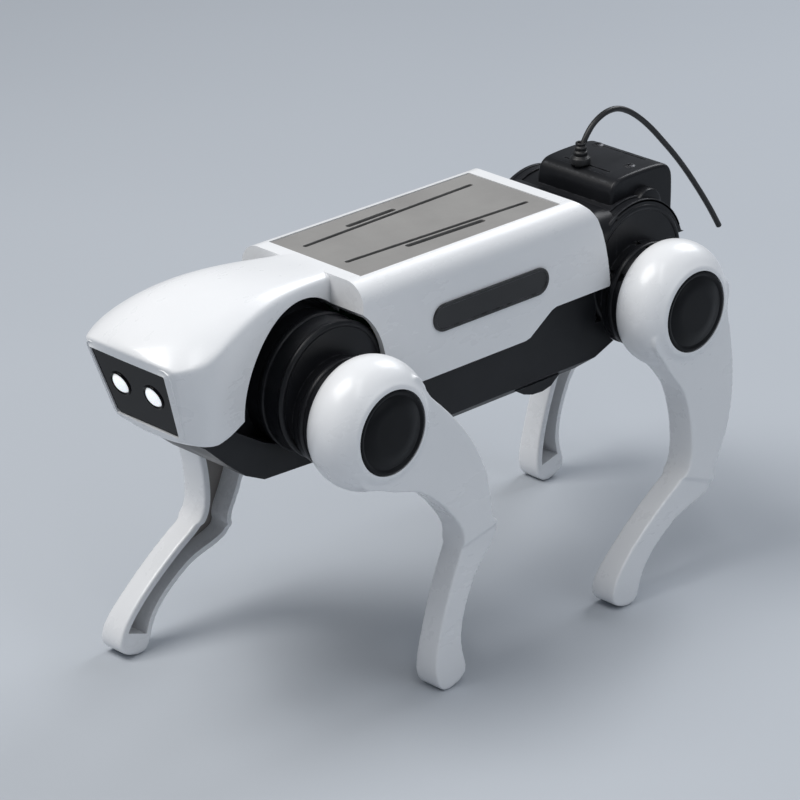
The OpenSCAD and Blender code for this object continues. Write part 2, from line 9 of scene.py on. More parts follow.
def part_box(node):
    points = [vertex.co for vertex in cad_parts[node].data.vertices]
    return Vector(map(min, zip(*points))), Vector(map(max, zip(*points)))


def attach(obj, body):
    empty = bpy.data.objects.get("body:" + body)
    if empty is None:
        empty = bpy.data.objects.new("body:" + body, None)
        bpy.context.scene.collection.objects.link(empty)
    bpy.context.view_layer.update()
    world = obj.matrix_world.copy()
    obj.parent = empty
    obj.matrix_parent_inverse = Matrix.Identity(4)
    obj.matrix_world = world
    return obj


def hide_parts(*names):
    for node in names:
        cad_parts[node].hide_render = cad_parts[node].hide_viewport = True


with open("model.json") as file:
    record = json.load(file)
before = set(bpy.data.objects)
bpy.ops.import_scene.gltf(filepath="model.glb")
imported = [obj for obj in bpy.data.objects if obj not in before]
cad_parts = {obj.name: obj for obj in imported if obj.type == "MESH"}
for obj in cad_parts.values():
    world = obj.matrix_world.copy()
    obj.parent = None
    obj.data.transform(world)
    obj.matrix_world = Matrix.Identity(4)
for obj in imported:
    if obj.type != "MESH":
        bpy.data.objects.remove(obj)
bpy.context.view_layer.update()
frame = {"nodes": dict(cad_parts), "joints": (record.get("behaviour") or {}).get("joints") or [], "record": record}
NODES = frame["nodes"]
JOINTS = {j["name"]: Vector(j["pos_m"]) * 1000 for j in frame["joints"] if "pos_m" in j}

# Lengths are in mm here. A station is measured back from the front edge of the top panel.
REAR_HIP_S = 92.0
MID = REAR_HIP_S - JOINTS["rear_left_swing"].y
HIP_Z = JOINTS["rear_left_swing"].z
FRONT_HIP_S = JOINTS["front_left_swing"].y + MID
SWING = 17.0
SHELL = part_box("badge_left")[0].x * 1000
BACK_Z = 102.0
FRONT_DRUM = (FRONT_HIP_S, 78.0)
REAR_DRUM = (REAR_HIP_S, 79.5)
ARCH = (-16.5, 79.5)
ARCH_R = 19.8
PANEL = (67.0, 31.0)


def at(x, s, z):
    return Vector((x, s - MID, z)) / 1000


# ---- camera, first ---------------------------------------------------------

AZ, EL, DIST, LENS = 45.32, 23.45, 0.938, 173.6
cam_data = bpy.data.cameras.new("camera")
cam_data.lens = LENS
cam_data.sensor_width = 36
cam_data.clip_start = 0.01
cam = bpy.data.objects.new("camera", cam_data)
bpy.context.scene.collection.objects.link(cam)
back = Vector((math.sin(math.radians(AZ)) * math.cos(math.radians(EL)),
               -math.cos(math.radians(AZ)) * math.cos(math.radians(EL)),
               math.sin(math.radians(EL))))
turn = back.to_track_quat("Z", "Y")
target = at(0, 33.5, 46.9) + turn @ Vector((-0.0039, 0.0084, 0))
cam.location = target + back * DIST
cam.rotation_euler = turn.to_euler()
bpy.context.scene.camera = cam


# ---- materials -------------------------------------------------------------

class Nodes:
    """Small helper that wires one material's nodes."""

    def __init__(self, name):
        self.mat = bpy.data.materials.new(name)
        self.mat.use_nodes = True
        self.tree = self.mat.node_tree
        self.tree.nodes.clear()
        self.shader = self.new("ShaderNodeBsdfPrincipled")
        out = self.new("ShaderNodeOutputMaterial")
        self.link(self.shader.outputs[0], out.inputs[0])
        self.coord = self.new("ShaderNodeTexCoord").outputs["Object"]

    def new(self, kind, **values):
        n = self.tree.nodes.new(kind)
        for k, v in values.items():
            setattr(n, k, v)
        return n

    def link(self, a, b):
        self.tree.links.new(a, b)

    def noise(self, scale, detail=3.0, rough=0.55, stretch=None):
        n = self.new("ShaderNodeTexNoise")
        n.inputs["Scale"].default_value = scale
        n.inputs["Detail"].default_value = detail
        n.inputs["Roughness"].default_value = rough
        if stretch:
            m = self.new("ShaderNodeMapping")
            m.inputs["Scale"].default_value = stretch
            self.link(self.coord, m.inputs["Vector"])
            self.link(m.outputs[0], n.inputs["Vector"])
        else:
            self.link(self.coord, n.inputs["Vector"])
        return n.outputs["Fac"]

    def fit(self, value, lo, hi, a, b):
        m = self.new("ShaderNodeMapRange")
        m.clamp = True
        for i, v in zip((1, 2, 3, 4), (lo, hi, a, b)):
            m.inputs[i].default_value = v
        self.link(value, m.inputs[0])
        return m.outputs[0]

    def mix(self, fac, a, b):
        m = self.new("ShaderNodeMix", data_type="RGBA")
        for socket, v in ((m.inputs[0], fac), (m.inputs[6], a), (m.inputs[7], b)):
            if isinstance(v, bpy.types.NodeSocket):
                self.link(v, socket)
            elif isinstance(v, (int, float)):
                socket.default_value = v
            else:
                socket.default_value = (*v, 1)
        return m.outputs[2]

    def math(self, op, a, b):
        m = self.new("ShaderNodeMath", operation=op)
        for socket, v in ((m.inputs[0], a), (m.inputs[1], b)):
            if isinstance(v, bpy.types.NodeSocket):
                self.link(v, socket)
            else:
                socket.default_value = v
        return m.outputs[0]

    def bump(self, height, distance, strength=1.0, under=None):
        b = self.new("ShaderNodeBump")
        b.inputs["Strength"].default_value = strength
        b.inputs["Distance"].default_value = distance
        self.link(height, b.inputs["Height"])
        if under is not None:
            self.link(under, b.inputs["Normal"])
        return b.outputs[0]

    def edges(self, size):
        """1 on outside edges narrower than size, 0 on flats."""
        b = self.new("ShaderNodeBevel", samples=4)
        b.inputs[0].default_value = size
        g = self.new("ShaderNodeNewGeometry")
        d = self.new("ShaderNodeVectorMath", operation="DOT_PRODUCT")
        self.link(b.outputs[0], d.inputs[0])
        self.link(g.outputs["Normal"], d.inputs[1])
        return self.fit(d.outputs["Value"], 0.9, 0.995, 1.0, 0.0)

    def recess(self, distance):
        """1 deep in a seam or recess, 0 in the open."""
        a = self.new("ShaderNodeAmbientOcclusion", samples=6)
        a.inputs["Distance"].default_value = distance
        return self.fit(a.outputs["AO"], 0.25, 0.85, 1.0, 0.0)


def plastic(name, base, other, rough, grain, grain_size, edge=None, edge_mix=0.5, recess_shade=None, coat=0.0,
            specular=0.5, waviness=0.00002):
    """Moulded plastic: drifting tone, moulding grain, sink waviness, rubbed edges and painted shade darkening the
    recesses.
    """
    n = Nodes(name)
    drift = n.noise(38, 4)
    colour = n.mix(n.fit(drift, 0.35, 0.65, 0.0, 1.0), base, other)
    speck = n.noise(1500, 2)
    colour = n.mix(n.fit(speck, 0.62, 0.78, 0.0, 0.22), colour, tuple(min(1, c * 1.12 + 0.004) for c in other))
    # Painted shade: in seams and recesses, found by ambient occlusion, the colour is darkened in patches towards the
    # colour given for recesses.
    if recess_shade:
        colour = n.mix(n.math("MULTIPLY", n.recess(0.0022), n.fit(n.noise(260, 4), 0.3, 0.75, 0.35, 0.95)),
                       colour, recess_shade)
    if edge:
        worn = n.math("MULTIPLY", n.edges(0.0005), n.fit(n.noise(420, 5, 0.7), 0.42, 0.62, 0.0, edge_mix))
        colour = n.mix(worn, colour, edge)
    n.link(colour, n.shader.inputs["Base Color"])
    rub = n.noise(90, 5, 0.65, (1, 0.35, 1))
    n.link(n.fit(rub, 0.3, 0.7, max(0.03, rough - 0.06), rough + 0.07), n.shader.inputs["Roughness"])
    low = n.bump(n.noise(120, 2), waviness, 0.5)
    n.link(n.bump(n.noise(grain_size, 3, 0.6), grain, 0.7, low), n.shader.inputs["Normal"])
    n.shader.inputs["Coat Weight"].default_value = coat
    n.shader.inputs["Coat Roughness"].default_value = 0.08
    n.shader.inputs["Specular IOR Level"].default_value = specular
    return n


def metal(name, base, other, rough, stretch=(1, 14, 14)):
    n = Nodes(name)
    lines = n.noise(2600, 3, 0.6, stretch)
    colour = n.mix(n.fit(lines, 0.35, 0.65, 0, 1), base, other)
    stain = n.noise(160, 5)
    colour = n.mix(n.fit(stain, 0.55, 0.8, 0, 0.45), colour, tuple(c * 0.6 for c in base))
    n.link(colour, n.shader.inputs["Base Color"])
    n.shader.inputs["Metallic"].default_value = 1.0
    n.link(n.fit(stain, 0.3, 0.75, rough, rough + 0.18), n.shader.inputs["Roughness"])
    n.link(n.bump(lines, 0.00001, 0.6), n.shader.inputs["Normal"])
    return n


# Each colour given below for a material's recesses is painted shade, laid into its seams by ambient occlusion.
MATS = {
    "white_shell": plastic("white_abs", (0.82, 0.83, 0.845), (0.845, 0.853, 0.868), 0.29, 0.000004, 2600,
                           edge=(0.91, 0.91, 0.92), edge_mix=0.3, recess_shade=(0.62, 0.63, 0.645), coat=0.15,
                           waviness=0.000006),
    "black_shell": plastic("black_abs", (0.0055, 0.006, 0.0075), (0.012, 0.0125, 0.015), 0.36, 0.000012, 3400,
                           edge=(0.08, 0.083, 0.092), edge_mix=0.6, recess_shade=(0.012, 0.012, 0.013), specular=0.26),
    "grey_panel": plastic("grey_grained", (0.235, 0.228, 0.220), (0.285, 0.278, 0.268), 0.52, 0.00003, 3000,
                          edge=(0.42, 0.41, 0.40), edge_mix=0.6, recess_shade=(0.06, 0.06, 0.06)),
    "visor_gloss": plastic("visor_gloss", (0.002, 0.002, 0.0025), (0.004, 0.004, 0.005), 0.12, 0.000001, 1800,
                           edge=(0.015, 0.015, 0.018), specular=0.12),
    "cap_black": plastic("cap_black", (0.004, 0.0045, 0.0055), (0.009, 0.0095, 0.011), 0.33, 0.00001, 3600,
                         edge=(0.04, 0.042, 0.048), edge_mix=0.5, specular=0.14),
    "badge_black": plastic("badge_black", (0.006, 0.006, 0.007), (0.012, 0.012, 0.013), 0.32, 0.000006, 2600,
                           edge=(0.10, 0.10, 0.11), edge_mix=0.7),
    "cell_jacket": plastic("cell_jacket", (0.42, 0.25, 0.04), (0.50, 0.31, 0.06), 0.3, 0.000003, 900),
    "gear_nylon": plastic("gear_nylon", (0.70, 0.68, 0.60), (0.78, 0.76, 0.69), 0.42, 0.000008, 2200,
                          recess_shade=(0.35, 0.33, 0.26)),
    "board_green": plastic("board_green", (0.015, 0.12, 0.045), (0.03, 0.17, 0.07), 0.3, 0.000008, 1400),
    "chip_black": plastic("chip_black", (0.012, 0.012, 0.013), (0.022, 0.022, 0.024), 0.55, 0.00001, 4200),
    "wire_black": plastic("wire_black", (0.006, 0.006, 0.007), (0.012, 0.012, 0.013), 0.42, 0.000012, 2400),
    "screw_black": metal("screw_black", (0.05, 0.05, 0.055), (0.09, 0.09, 0.095), 0.34),
    "steel": metal("steel", (0.55, 0.55, 0.56), (0.64, 0.64, 0.65), 0.26),
    "plated_steel": metal("plated_steel", (0.60, 0.60, 0.58), (0.68, 0.68, 0.66), 0.32),
    "brass": metal("brass", (0.72, 0.52, 0.22), (0.80, 0.61, 0.30), 0.25),
}
lens = plastic("eye_lens", (0.88, 0.90, 0.93), (0.95, 0.96, 0.97), 0.2, 0.000003, 2200, coat=0.6)
# Painted glow: the eye lenses emit a little light, though they are no lamp, so that they read bright white.
lens.shader.inputs["Emission Color"].default_value = (0.93, 0.97, 1.0, 1)
lens.shader.inputs["Emission Strength"].default_value = 0.55
lens.shader.inputs["Subsurface Weight"].default_value = 0.25
lens.shader.inputs["Subsurface Scale"].default_value = 0.001
MATS["eye_white"] = lens
led = plastic("led_clear", (0.85, 0.85, 0.75), (0.92, 0.92, 0.84), 0.12, 0.000002, 1200)
led.shader.inputs["Transmission Weight"].default_value = 0.5
MATS["led_clear"] = led
# Painted shade: this dark grey-brown is laid on the floor of each leg's hollow, where the white moulding lies in
# shade; its recess colour darkens the hollow further.
MATS["inner_grey"] = plastic("leg_inside", (0.20, 0.185, 0.17), (0.27, 0.25, 0.235), 0.45, 0.00001, 2600,
                             recess_shade=(0.09, 0.08, 0.07))

SLOT_OF = {s["node"]: s["material_slot"] for s in frame["record"]["subparts"]}
for node, obj in NODES.items():
    obj.data.materials.clear()
    obj.data.materials.append(MATS[SLOT_OF[node]].mat)


# ---- mesh helpers ----------------------------------------------------------

def put(name, mesh, body, slot, *replaced):
    obj = bpy.data.objects.new(name, mesh)
    bpy.context.scene.collection.objects.link(obj)
    mesh.materials.clear()
    mesh.materials.append(MATS[slot].mat)
    mesh.shade_smooth()
    if body:
        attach(obj, body)
    if replaced:
        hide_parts(*replaced)
    return obj


def from_bmesh(bm, name):
    bmesh.ops.remove_doubles(bm, verts=bm.verts, dist=1e-7)
    bmesh.ops.recalc_face_normals(bm, faces=bm.faces)
    mesh = bpy.data.meshes.new(name)
    bm.to_mesh(mesh)
    bm.free()
    return mesh


def scratch(mesh):
    obj = bpy.data.objects.new(mesh.name + "_tmp", mesh)
    bpy.context.scene.collection.objects.link(obj)
    return obj


def settle(obj):
    """The object's mesh with its modifiers applied; the object is removed."""
    bpy.context.view_layer.update()
    mesh = bpy.data.meshes.new_from_object(obj.evaluated_get(bpy.context.evaluated_depsgraph_get()))
    mesh.name = obj.name.replace("_tmp", "")
    bpy.data.objects.remove(obj)
    return mesh


def boolean(mesh, other, operation="DIFFERENCE"):
    a, b = scratch(mesh), scratch(other)
    m = a.modifiers.new("b", "BOOLEAN")
    m.object, m.operation, m.solver = b, operation, "EXACT"
    out = settle(a)
    bpy.data.objects.remove(b)
    return out


def modified(mesh, *mods):
    obj = scratch(mesh)
    for kind, values in mods:
        m = obj.modifiers.new(kind.lower(), kind)
        for k, v in values.items():
            setattr(m, k, v)
    return settle(obj)


def soft_edges(obj, width=0.35, segments=3, angle=32):
    m = obj.modifiers.new("edge", "BEVEL")
    m.width = width / 1000
    m.segments = segments
    m.limit_method = "ANGLE"
    m.angle_limit = math.radians(angle)
    m.harden_normals = True
    m.use_clamp_overlap = True
    w = obj.modifiers.new("normals", "WEIGHTED_NORMAL")
    w.keep_sharp = True
    w.weight = 80
    return obj


def prism(name, outline, x0, x1, place=at):
    """[station, height] outline extruded along X."""
    bm = bmesh.new()
    a = [bm.verts.new(place(x0, s, z)) for s, z in outline]
    b = [bm.verts.new(place(x1, s, z)) for s, z in outline]
    bm.faces.new(a)
    bm.faces.new(b)
    n = len(outline)
    for i in range(n):
        j = (i + 1) % n
        bm.faces.new((a[i], a[j], b[j], b[i]))
    return from_bmesh(bm, name)


def block(name, low, high):
    return prism(name, [(low[1], low[2]), (high[1], low[2]), (high[1], high[2]), (low[1], high[2])],
                 low[0], high[0])


def lathe(name, profile, centre, side=1, steps=96, place=at, loop=False):
    """(x, radius) profile turned about an axis along X through [station, height]."""
    bm = bmesh.new()
    rings = []
    for x, r in profile:
        if r < 1e-6:
            rings.append([bm.verts.new(place(side * x, *centre))])
        else:
            rings.append([bm.verts.new(place(side * x, centre[0] + r * math.cos(2 * math.pi * i / steps),
                                             centre[1] + r * math.sin(2 * math.pi * i / steps)))
                          for i in range(steps)])
    pairs = list(zip(rings, rings[1:]))
    if loop:
        pairs.append((rings[-1], rings[0]))
    for a, b in pairs:
        for i in range(steps):
            j = (i + 1) % steps
            quad = [a[i % len(a)], a[j % len(a)], b[j % len(b)], b[i % len(b)]]
            quad = list(dict.fromkeys(quad))
            if len(quad) > 2:
                bm.faces.new(quad)
    return from_bmesh(bm, name)


def smooth_line(points, steps=6, closed=True):
    """Catmull-Rom curve through the points."""
    n = len(points)
    out = []
    for i in range(n if closed else n - 1):
        p = [points[(i + k) % n] if closed else points[min(max(i + k, 0), n - 1)] for k in (-1, 0, 1, 2)]
        for k in range(steps):
            t = k / steps
            out.append(tuple(0.5 * (2 * p[1][d] + (p[2][d] - p[0][d]) * t
                                    + (2 * p[0][d] - 5 * p[1][d] + 4 * p[2][d] - p[3][d]) * t * t
                                    + (3 * p[1][d] - p[0][d] - 3 * p[2][d] + p[3][d]) * t ** 3)
                             for d in range(len(p[0]))))
    if not closed:
        out.append(tuple(points[-1]))
    return out


def arc(centre, r, a0, a1, n):
    return [(centre[0] + r * math.cos(math.radians(a0 + (a1 - a0) * i / n)),
             centre[1] + r * math.sin(math.radians(a0 + (a1 - a0) * i / n))) for i in range(n + 1)]


def mirrored(mesh, name):
    m = mesh.copy()
    m.name = name
    m.transform(Matrix.Scale(-1, 4, (1, 0, 0)))
    m.flip_normals()
    return m


# ---- antenna, next because it is a cord ------------------------------------

WIRE = [(90.6, 101.3), (90.6, 104.8), (92.2, 108.4), (95.2, 111.6), (99.4, 113.4), (103.8, 113.4),
        (108.2, 111.6), (112.6, 108.6), (117, 104.8), (121.4, 100.4), (125.8, 95.8), (130, 91), (134, 86),
        (137.8, 81), (141.2, 76.2), (144.2, 71.6)]
curve = bpy.data.curves.new("antenna", "CURVE")
curve.dimensions = "3D"
curve.bevel_depth = 0.00075
curve.bevel_resolution = 4
curve.use_fill_caps = True
path = smooth_line(WIRE, 4, closed=False)
spline = curve.splines.new("POLY")
spline.points.add(len(path) - 1)
for point, (s, z) in zip(spline.points, path):
    point.co = (*at(0, s, z), 1)
curve.materials.append(MATS["wire_black"].mat)
wire = bpy.data.objects.new("antenna_lead", curve)
bpy.context.scene.collection.objects.link(wire)
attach(wire, "torso")
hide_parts("antenna_wire")

def upright(name, profile, s, z, x=0.0, steps=48):
    """(radius, height) profile turned about a vertical axis."""
    return lathe(name, [(h, r) for r, h in profile], (0, 0), 1, steps,
                 place=lambda h, a, b: at(x + a, s + b, z + h))


relief = upright("antenna_relief", [(0.78, -1.2), (0.78, 5.2), (1.1, 5.5), (1.35, 5.1), (1.2, 4.6), (1.6, 4.2),
                                    (1.6, 3.8), (1.4, 3.4), (1.9, 3.0), (1.9, 2.5), (1.7, 2.1), (2.5, 1.5),
                                    (2.7, 0.9), (2.7, 0.05), (1.45, 0.0), (1.45, -1.2), (0.78, -1.2)], 90.6, 102.5)
soft_edges(put("antenna_relief", relief, "torso", "wire_black", "antenna_grommet"), 0.15, 2)


# ---- head ------------------------------------------------------------------

LEAN = math.radians(19)


def face(u, out, down):
    """Point in the frame of the face: u across, out behind the face, down along it."""
    return at(u, -59.1 + out * math.cos(LEAN) + down * math.sin(LEAN),
              95.2 + out * math.sin(LEAN) - down * math.cos(LEAN))


opening = [(0, 2.25), (5, 2.25), (10, 2.25), (12.55, 2.25), (11.9, 8.5), (11.2, 14.5), (10.55, 20.55), (5, 20.55),
           (0, 20.55)]
rim = [(0, -0.9, 0.1), (6, -0.8, 0.15), (12.4, -0.2, 0.9), (15.3, 1.3, 2.0), (14.5, 8.2, 1.6), (13.4, 14.6, 1.3),
       (12.5, 22.0, 1.1), (6, 22.6, 0.5), (0, 22.7, 0.4)]
rows = [
    [face(u, 2.2, d) for u, d in opening],
    [face(u, 0.25 + 0.1 * abs(u) / 12, d) for u, d in opening],
    [face(u, out, d) for u, d, out in rim],
    [at(*p) for p in ((0, -58.2, 98.4), (6.6, -57.7, 98.2), (13.6, -54.8, 97.4), (18.9, -51.3, 95.2),
                      (18.7, -50.6, 88.5), (17.4, -48.8, 81), (15.6, -47.2, 73.4), (6, -48.6, 71.6), (0, -49, 71.4))],
    [at(*p) for p in ((0, -47, 102.4), (7.2, -46.8, 102.2), (13.6, -46, 101.0), (18.4, -44.4, 98.2),
                      (18.2, -44.2, 90.5), (17, -43.6, 82), (15.6, -43, 73.4), (6, -43, 71.6), (0, -43, 71.6))],
    [at(*p) for p in ((0, -35, 104.6), (6.6, -35, 104.4), (12.0, -35, 103.4), (16.2, -35, 101.0),
                      (16.3, -35, 93), (15.4, -35, 83), (14.6, -35, 73.4), (6, -35, 71.6), (0, -35, 71.6))],
    [at(*p) for p in ((0, -24, 104.7), (5.8, -24, 104.6), (10.2, -24, 103.9), (13.4, -24, 102.2),
                      (13.6, -24, 94), (13.0, -24, 84), (12.4, -24, 73.4), (6, -24, 71.6), (0, -24, 71.6))],
    [at(*p) for p in ((0, -13, 103.5), (5.2, -13, 103.4), (8.8, -13, 103.0), (11.1, -13, 101.7),
                      (11.2, -13, 94), (10.8, -13, 84), (10.4, -13, 73.4), (5, -13, 71.6), (0, -13, 71.6))],
    [at(*p) for p in ((0, -4.4, 102.3), (4.8, -4.4, 102.3), (7.9, -4.4, 101.9), (9.5, -4.4, 100.8),
                      (9.5, -4.4, 94), (9.2, -4.4, 84), (9, -4.4, 73.4), (5, -4.4, 71.6), (0, -4.4, 71.6))],
    [at(*p) for p in ((0, -0.9, 102.12), (4.8, -0.9, 102.12), (7.9, -0.9, 101.8), (9.3, -0.9, 100.7),
                      (9.3, -0.9, 94), (9.0, -0.9, 84), (8.9, -0.9, 73.4), (5, -0.9, 71.6), (0, -0.9, 71.6))],
]
bm = bmesh.new()
grid = []
for row in rows:
    ring = [bm.verts.new(p) for p in row]
    ring += [bm.verts.new((-p.x, p.y, p.z)) for p in row[-2:0:-1]]
    grid.append(ring)
crease = bm.edges.layers.float.new("crease_edge")
for a, b in zip(grid, grid[1:]):
    for i in range(len(a)):
        j = (i + 1) % len(a)
        bm.faces.new((a[i], a[j], b[j], b[i]))
for r, ring in enumerate(grid):
    for i in range(len(ring)):
        e = bm.edges.get((ring[i], ring[(i + 1) % len(ring)]))
        e[crease] = (1.0, 0.92, 0.45, 0, 0, 0, 0, 0, 0, 1.0)[r]
    for i, amount in ((3, 0.42), (13, 0.42), (6, 0.6), (10, 0.6)):
        if r + 1 < len(grid):
            e = bm.edges.get((ring[i], grid[r + 1][i]))
            e[crease] = 0.95 if r < 2 else amount * (1.0 if r < 4 else 0.8)
hood = from_bmesh(bm, "head_hood")
hood = modified(hood, ("SUBSURF", {"levels": 3, "render_levels": 3}),
                ("SOLIDIFY", {"thickness": 0.0015, "offset": -1, "use_quality_normals": True}))
hood = boolean(hood, lathe("cut", [(-30, 0), (-30, ARCH_R), (30, ARCH_R), (30, 0)], ARCH, steps=160))
hood = boolean(hood, prism("cut", [(-62, 50), (-62, 71), (-56.5, 71), (-53.4, 74.0), (-50, 73.3), (-46, 73.2),
                                   (-42, 74.1), (-36, 76.6), (-15, 76.6), (2, 85), (2, 50)], -30, 30))
hood.set_sharp_from_angle(angle=math.radians(38))
put("head_hood", hood, "torso", "white_shell", "head_shell")


def face_prism(name, outline, front, behind):
    return prism(name, outline, front, behind, lambda o, u, d: face(u, o, d))


def pane(grow):
    t, b = 12.4 + grow, 10.4 + grow
    return [(-t + 0.8, 2.4 - grow), (t - 0.8, 2.4 - grow), (t, 3.2 - grow), (b + 0.1, 19.6 + grow),
            (b - 0.9, 20.4 + grow), (-b + 0.9, 20.4 + grow), (-b - 0.1, 19.6 + grow), (-t, 3.2 - grow)]


def eye_ring(name, profile, side, steps=64):
    """(depth behind the face, radius) profile about an eye's axis."""
    return lathe(name, profile, (0, 0), 1, steps, place=lambda o, a, b: face(side * 5.6 + a, o, 10.6 + b))


glass = face_prism("visor_glass", pane(-0.02), 0.75, 2.0)
for side in (-1, 1):
    glass = boolean(glass, eye_ring("hole", [(-1, 0), (-1, 2.75), (4, 2.75), (4, 0)], side))
soft_edges(put("visor_glass", glass, "torso", "visor_gloss", "visor"), 0.22, 3)
gasket = face_prism("visor_gasket", pane(0.1), 1.5, 2.3)
gasket = boolean(gasket, face_prism("cut", pane(-0.9), 0, 4))
soft_edges(put("visor_gasket", gasket, "torso", "black_shell"), 0.1, 2)
for side, word in ((1, "left"), (-1, "right")):
    dome = [(-0.15 + 2.75 * (1 - math.cos(math.radians(a))) * 0.42, 2.62 * math.sin(math.radians(a)))
            for a in range(0, 91, 9)]
    lens_mesh = eye_ring("eye_dome_" + word, dome + [(1.9, 2.62), (1.9, 0)], side)
    put("eye_dome_" + word, lens_mesh, "torso", "eye_white", "eye_lens_" + word)
    bezel = eye_ring("eye_bezel_" + word, [(0.85, 2.66), (0.5, 2.72), (0.36, 2.9), (0.42, 3.1), (0.7, 3.25),
                                           (0.9, 3.2), (0.85, 2.66)], side)
    put("eye_bezel_" + word, bezel, "torso", "visor_gloss")


# ---- body shell and its vent panel ------------------------------------------

def shell_outline(half, top, r, bottom, n=10):
    right = arc((half - r, top - r), r, 0, 90, n)
    return [(half, bottom)] + right + [(-x, z) for x, z in reversed(right)] + [(-half, bottom)]


def shell_block(name, half, top, r, s0, s1, bottom, nose):
    bm = bmesh.new()
    outline = shell_outline(half, top, r, bottom)
    a = [bm.verts.new(at(x, s0, z)) for x, z in outline]
    b = [bm.verts.new(at(x, s1, z)) for x, z in outline]
    bm.faces.new(a)
    bm.faces.new(b)
    for i in range(len(outline)):
        j = (i + 1) % len(outline)
        bm.faces.new((a[i], a[j], b[j], b[i]))
    front = [e for e in bm.edges if all(v in a for v in e.verts)
             and max(v.co.z for v in e.verts) > bottom / 1000 + 1e-4]
    bmesh.ops.bevel(bm, geom=front, offset=nose / 1000, segments=6, profile=0.5, affect="EDGES")
    return from_bmesh(bm, name)


shell = shell_block("back_cover", SHELL, BACK_Z, 5.5, -4, 84, 60, 2.6)
side_view = [(-6, 72.7), (50.2, 72.7), (51.8, 73.1), (59.2, 78.1), (60.8, 78.6), (80, 78.6), (79.6, 82), (78.9, 86),
             (77.9, 90), (76.6, 93.8), (75, 97.2), (73.2, 99.9), (71.6, 101.4), (70.4, 102.2), (70.4, 103), (-6, 103)]
shell = boolean(shell, prism("keep", side_view, -30, 30), "INTERSECT")
shell = boolean(shell, shell_block("core", SHELL - 1.6, BACK_Z - 1.9, 4, -2.3, 90, 50, 1.5))
shell = boolean(shell, lathe("cut", [(-30, 0), (-30, ARCH_R), (30, ARCH_R), (30, 0)], ARCH, steps=160))
half = PANEL[1] / 2
shell = boolean(shell, block("cut", (-half, 0, BACK_Z - 1.3), (half, PANEL[0], BACK_Z + 2)))
shell = boolean(shell, block("cut", (2 - half, 2, 90), (half - 2, PANEL[0] - 2, BACK_Z + 2)))
soft_edges(put("back_cover", shell, "torso", "white_shell", "back_shell"), 0.38, 3, 30)

plate = block("vent_plate", (0.12 - half, 0.12, BACK_Z - 1.25), (half - 0.12, PANEL[0] - 0.12, BACK_Z - 0.22))
slots = [((-7.8, 4.6), (-9.5, 61.5), 0.62), ((-10.2, 21), (-10.6, 36), 0.75),
         ((6.3, 4.6), (8.3, 62.5), 0.62), ((8.9, 22), (9.6, 46), 0.8)]
for a, b, w in slots:
    lean = math.degrees(math.atan2(b[1] - a[1], b[0] - a[0]))
    pill = arc(b, w, lean - 90, lean + 90, 8) + arc(a, w, lean + 90, lean + 270, 8)
    cutter = prism("slot", pill, BACK_Z - 3, BACK_Z + 1, lambda h, u, s: at(u, s, h))
    plate = boolean(plate, cutter)
soft_edges(put("vent_plate", plate, "torso", "grey_panel", "vent_panel"), 0.12, 2)
soft_edges(put("vent_backing", block("vent_backing", (-11, 3, BACK_Z - 2.1), (11, 64, BACK_Z - 1.5)),
               "torso", "chip_black"), 0.1, 1)


def pill_outline(s0, s1, z, r, n=14):
    return arc((s1, z), r, -90, 90, n) + arc((s0, z), r, 90, 270, n)


for side, word in ((1, "left"), (-1, "right")):
    base = prism("badge_plate_" + word, pill_outline(22, 54, 87, 3.45), side * (SHELL - 0.1),
                 side * (SHELL + 0.62))
    base = boolean(base, prism("cut", pill_outline(22, 54, 87, 2.7), side * (SHELL + 0.36), side * (SHELL + 2)))
    soft_edges(put("badge_plate_" + word, base, "torso", "badge_black", "badge_" + word), 0.16, 3)


# ---- legs, drawn once about the hip axis ------------------------------------

def hip(x, y, z):
    return Vector((x, y, z)) / 1000


LEG_LINE = [(-11, -6), (-4.5, -14.5), (3.8, -20.5), (8.8, -27), (12.2, -34), (13.6, -39.5), (12.4, -43.6),
            (8, -49), (3.4, -55.2), (-0.6, -61.4), (-3.6, -67), (-4.8, -71), (-4.5, -74), (-3.3, -75.6),
            (-1, -76.3), (1, -76.3), (3.3, -75.6), (4.6, -74), (4.9, -71), (5.5, -66.4), (8.9, -59.8),
            (14.4, -53.2), (21.2, -48.6), (24, -46), (24.5, -43.2), (23.7, -40.8), (24.6, -34), (24.8, -27),
            (23, -18), (19.4, -9), (14.5, 0), (10, 8)]
outline = smooth_line(LEG_LINE, 5)
blade = prism("leg", outline, 28.8, 36.6, hip)
ball = smooth_line([(24, 0.0), (24, 7), (24, 12.6), (24.6, 14.3), (26.4, 15.5), (29, 16.05), (31.6, 15.9), (34, 15.1),
                    (36, 13.6), (37.3, 12), (38, 10.6), (38, 5), (38, 0.0)], 4, closed=False)
ball = [(min(max(x, 24), 38), max(r, 0)) for x, r in ball]
ball[0], ball[-1] = (24, 0), (38, 0)
leg = boolean(blade, lathe("hub", ball, (0, 0), 1, 128, hip), "UNION")
leg = modified(leg, ("REMESH", {"mode": "VOXEL", "voxel_size": 0.00042, "adaptivity": 0.0}),
               ("SMOOTH", {"factor": 0.5, "iterations": 9}))
for v in leg.vertices:
    r = math.hypot(v.co.y, v.co.z) * 1000
    down = -v.co.z * 1000
    # the shin is narrower than the thigh, with a small step at the knee, and the foot widens again
    step = min(max((down - 41.6 - 0.08 * v.co.y * 1000) / 1.3, 0), 1)
    step = step * step * (3 - 2 * step)
    foot = min(max((down - 62) / 10, 0), 1)
    scale = 1 - 0.17 * step + 0.12 * foot * step
    if r > 17:
        v.co.x = 0.0327 + (v.co.x - 0.0327) * scale


def inset(points, d):
    out = []
    n = len(points)
    for i in range(n):
        (x0, y0), (x1, y1) = points[i - 1], points[(i + 1) % n]
        length = math.hypot(x1 - x0, y1 - y0) or 1
        out.append((points[i][0] - (y1 - y0) / length * d, points[i][1] + (x1 - x0) / length * d))
    return out


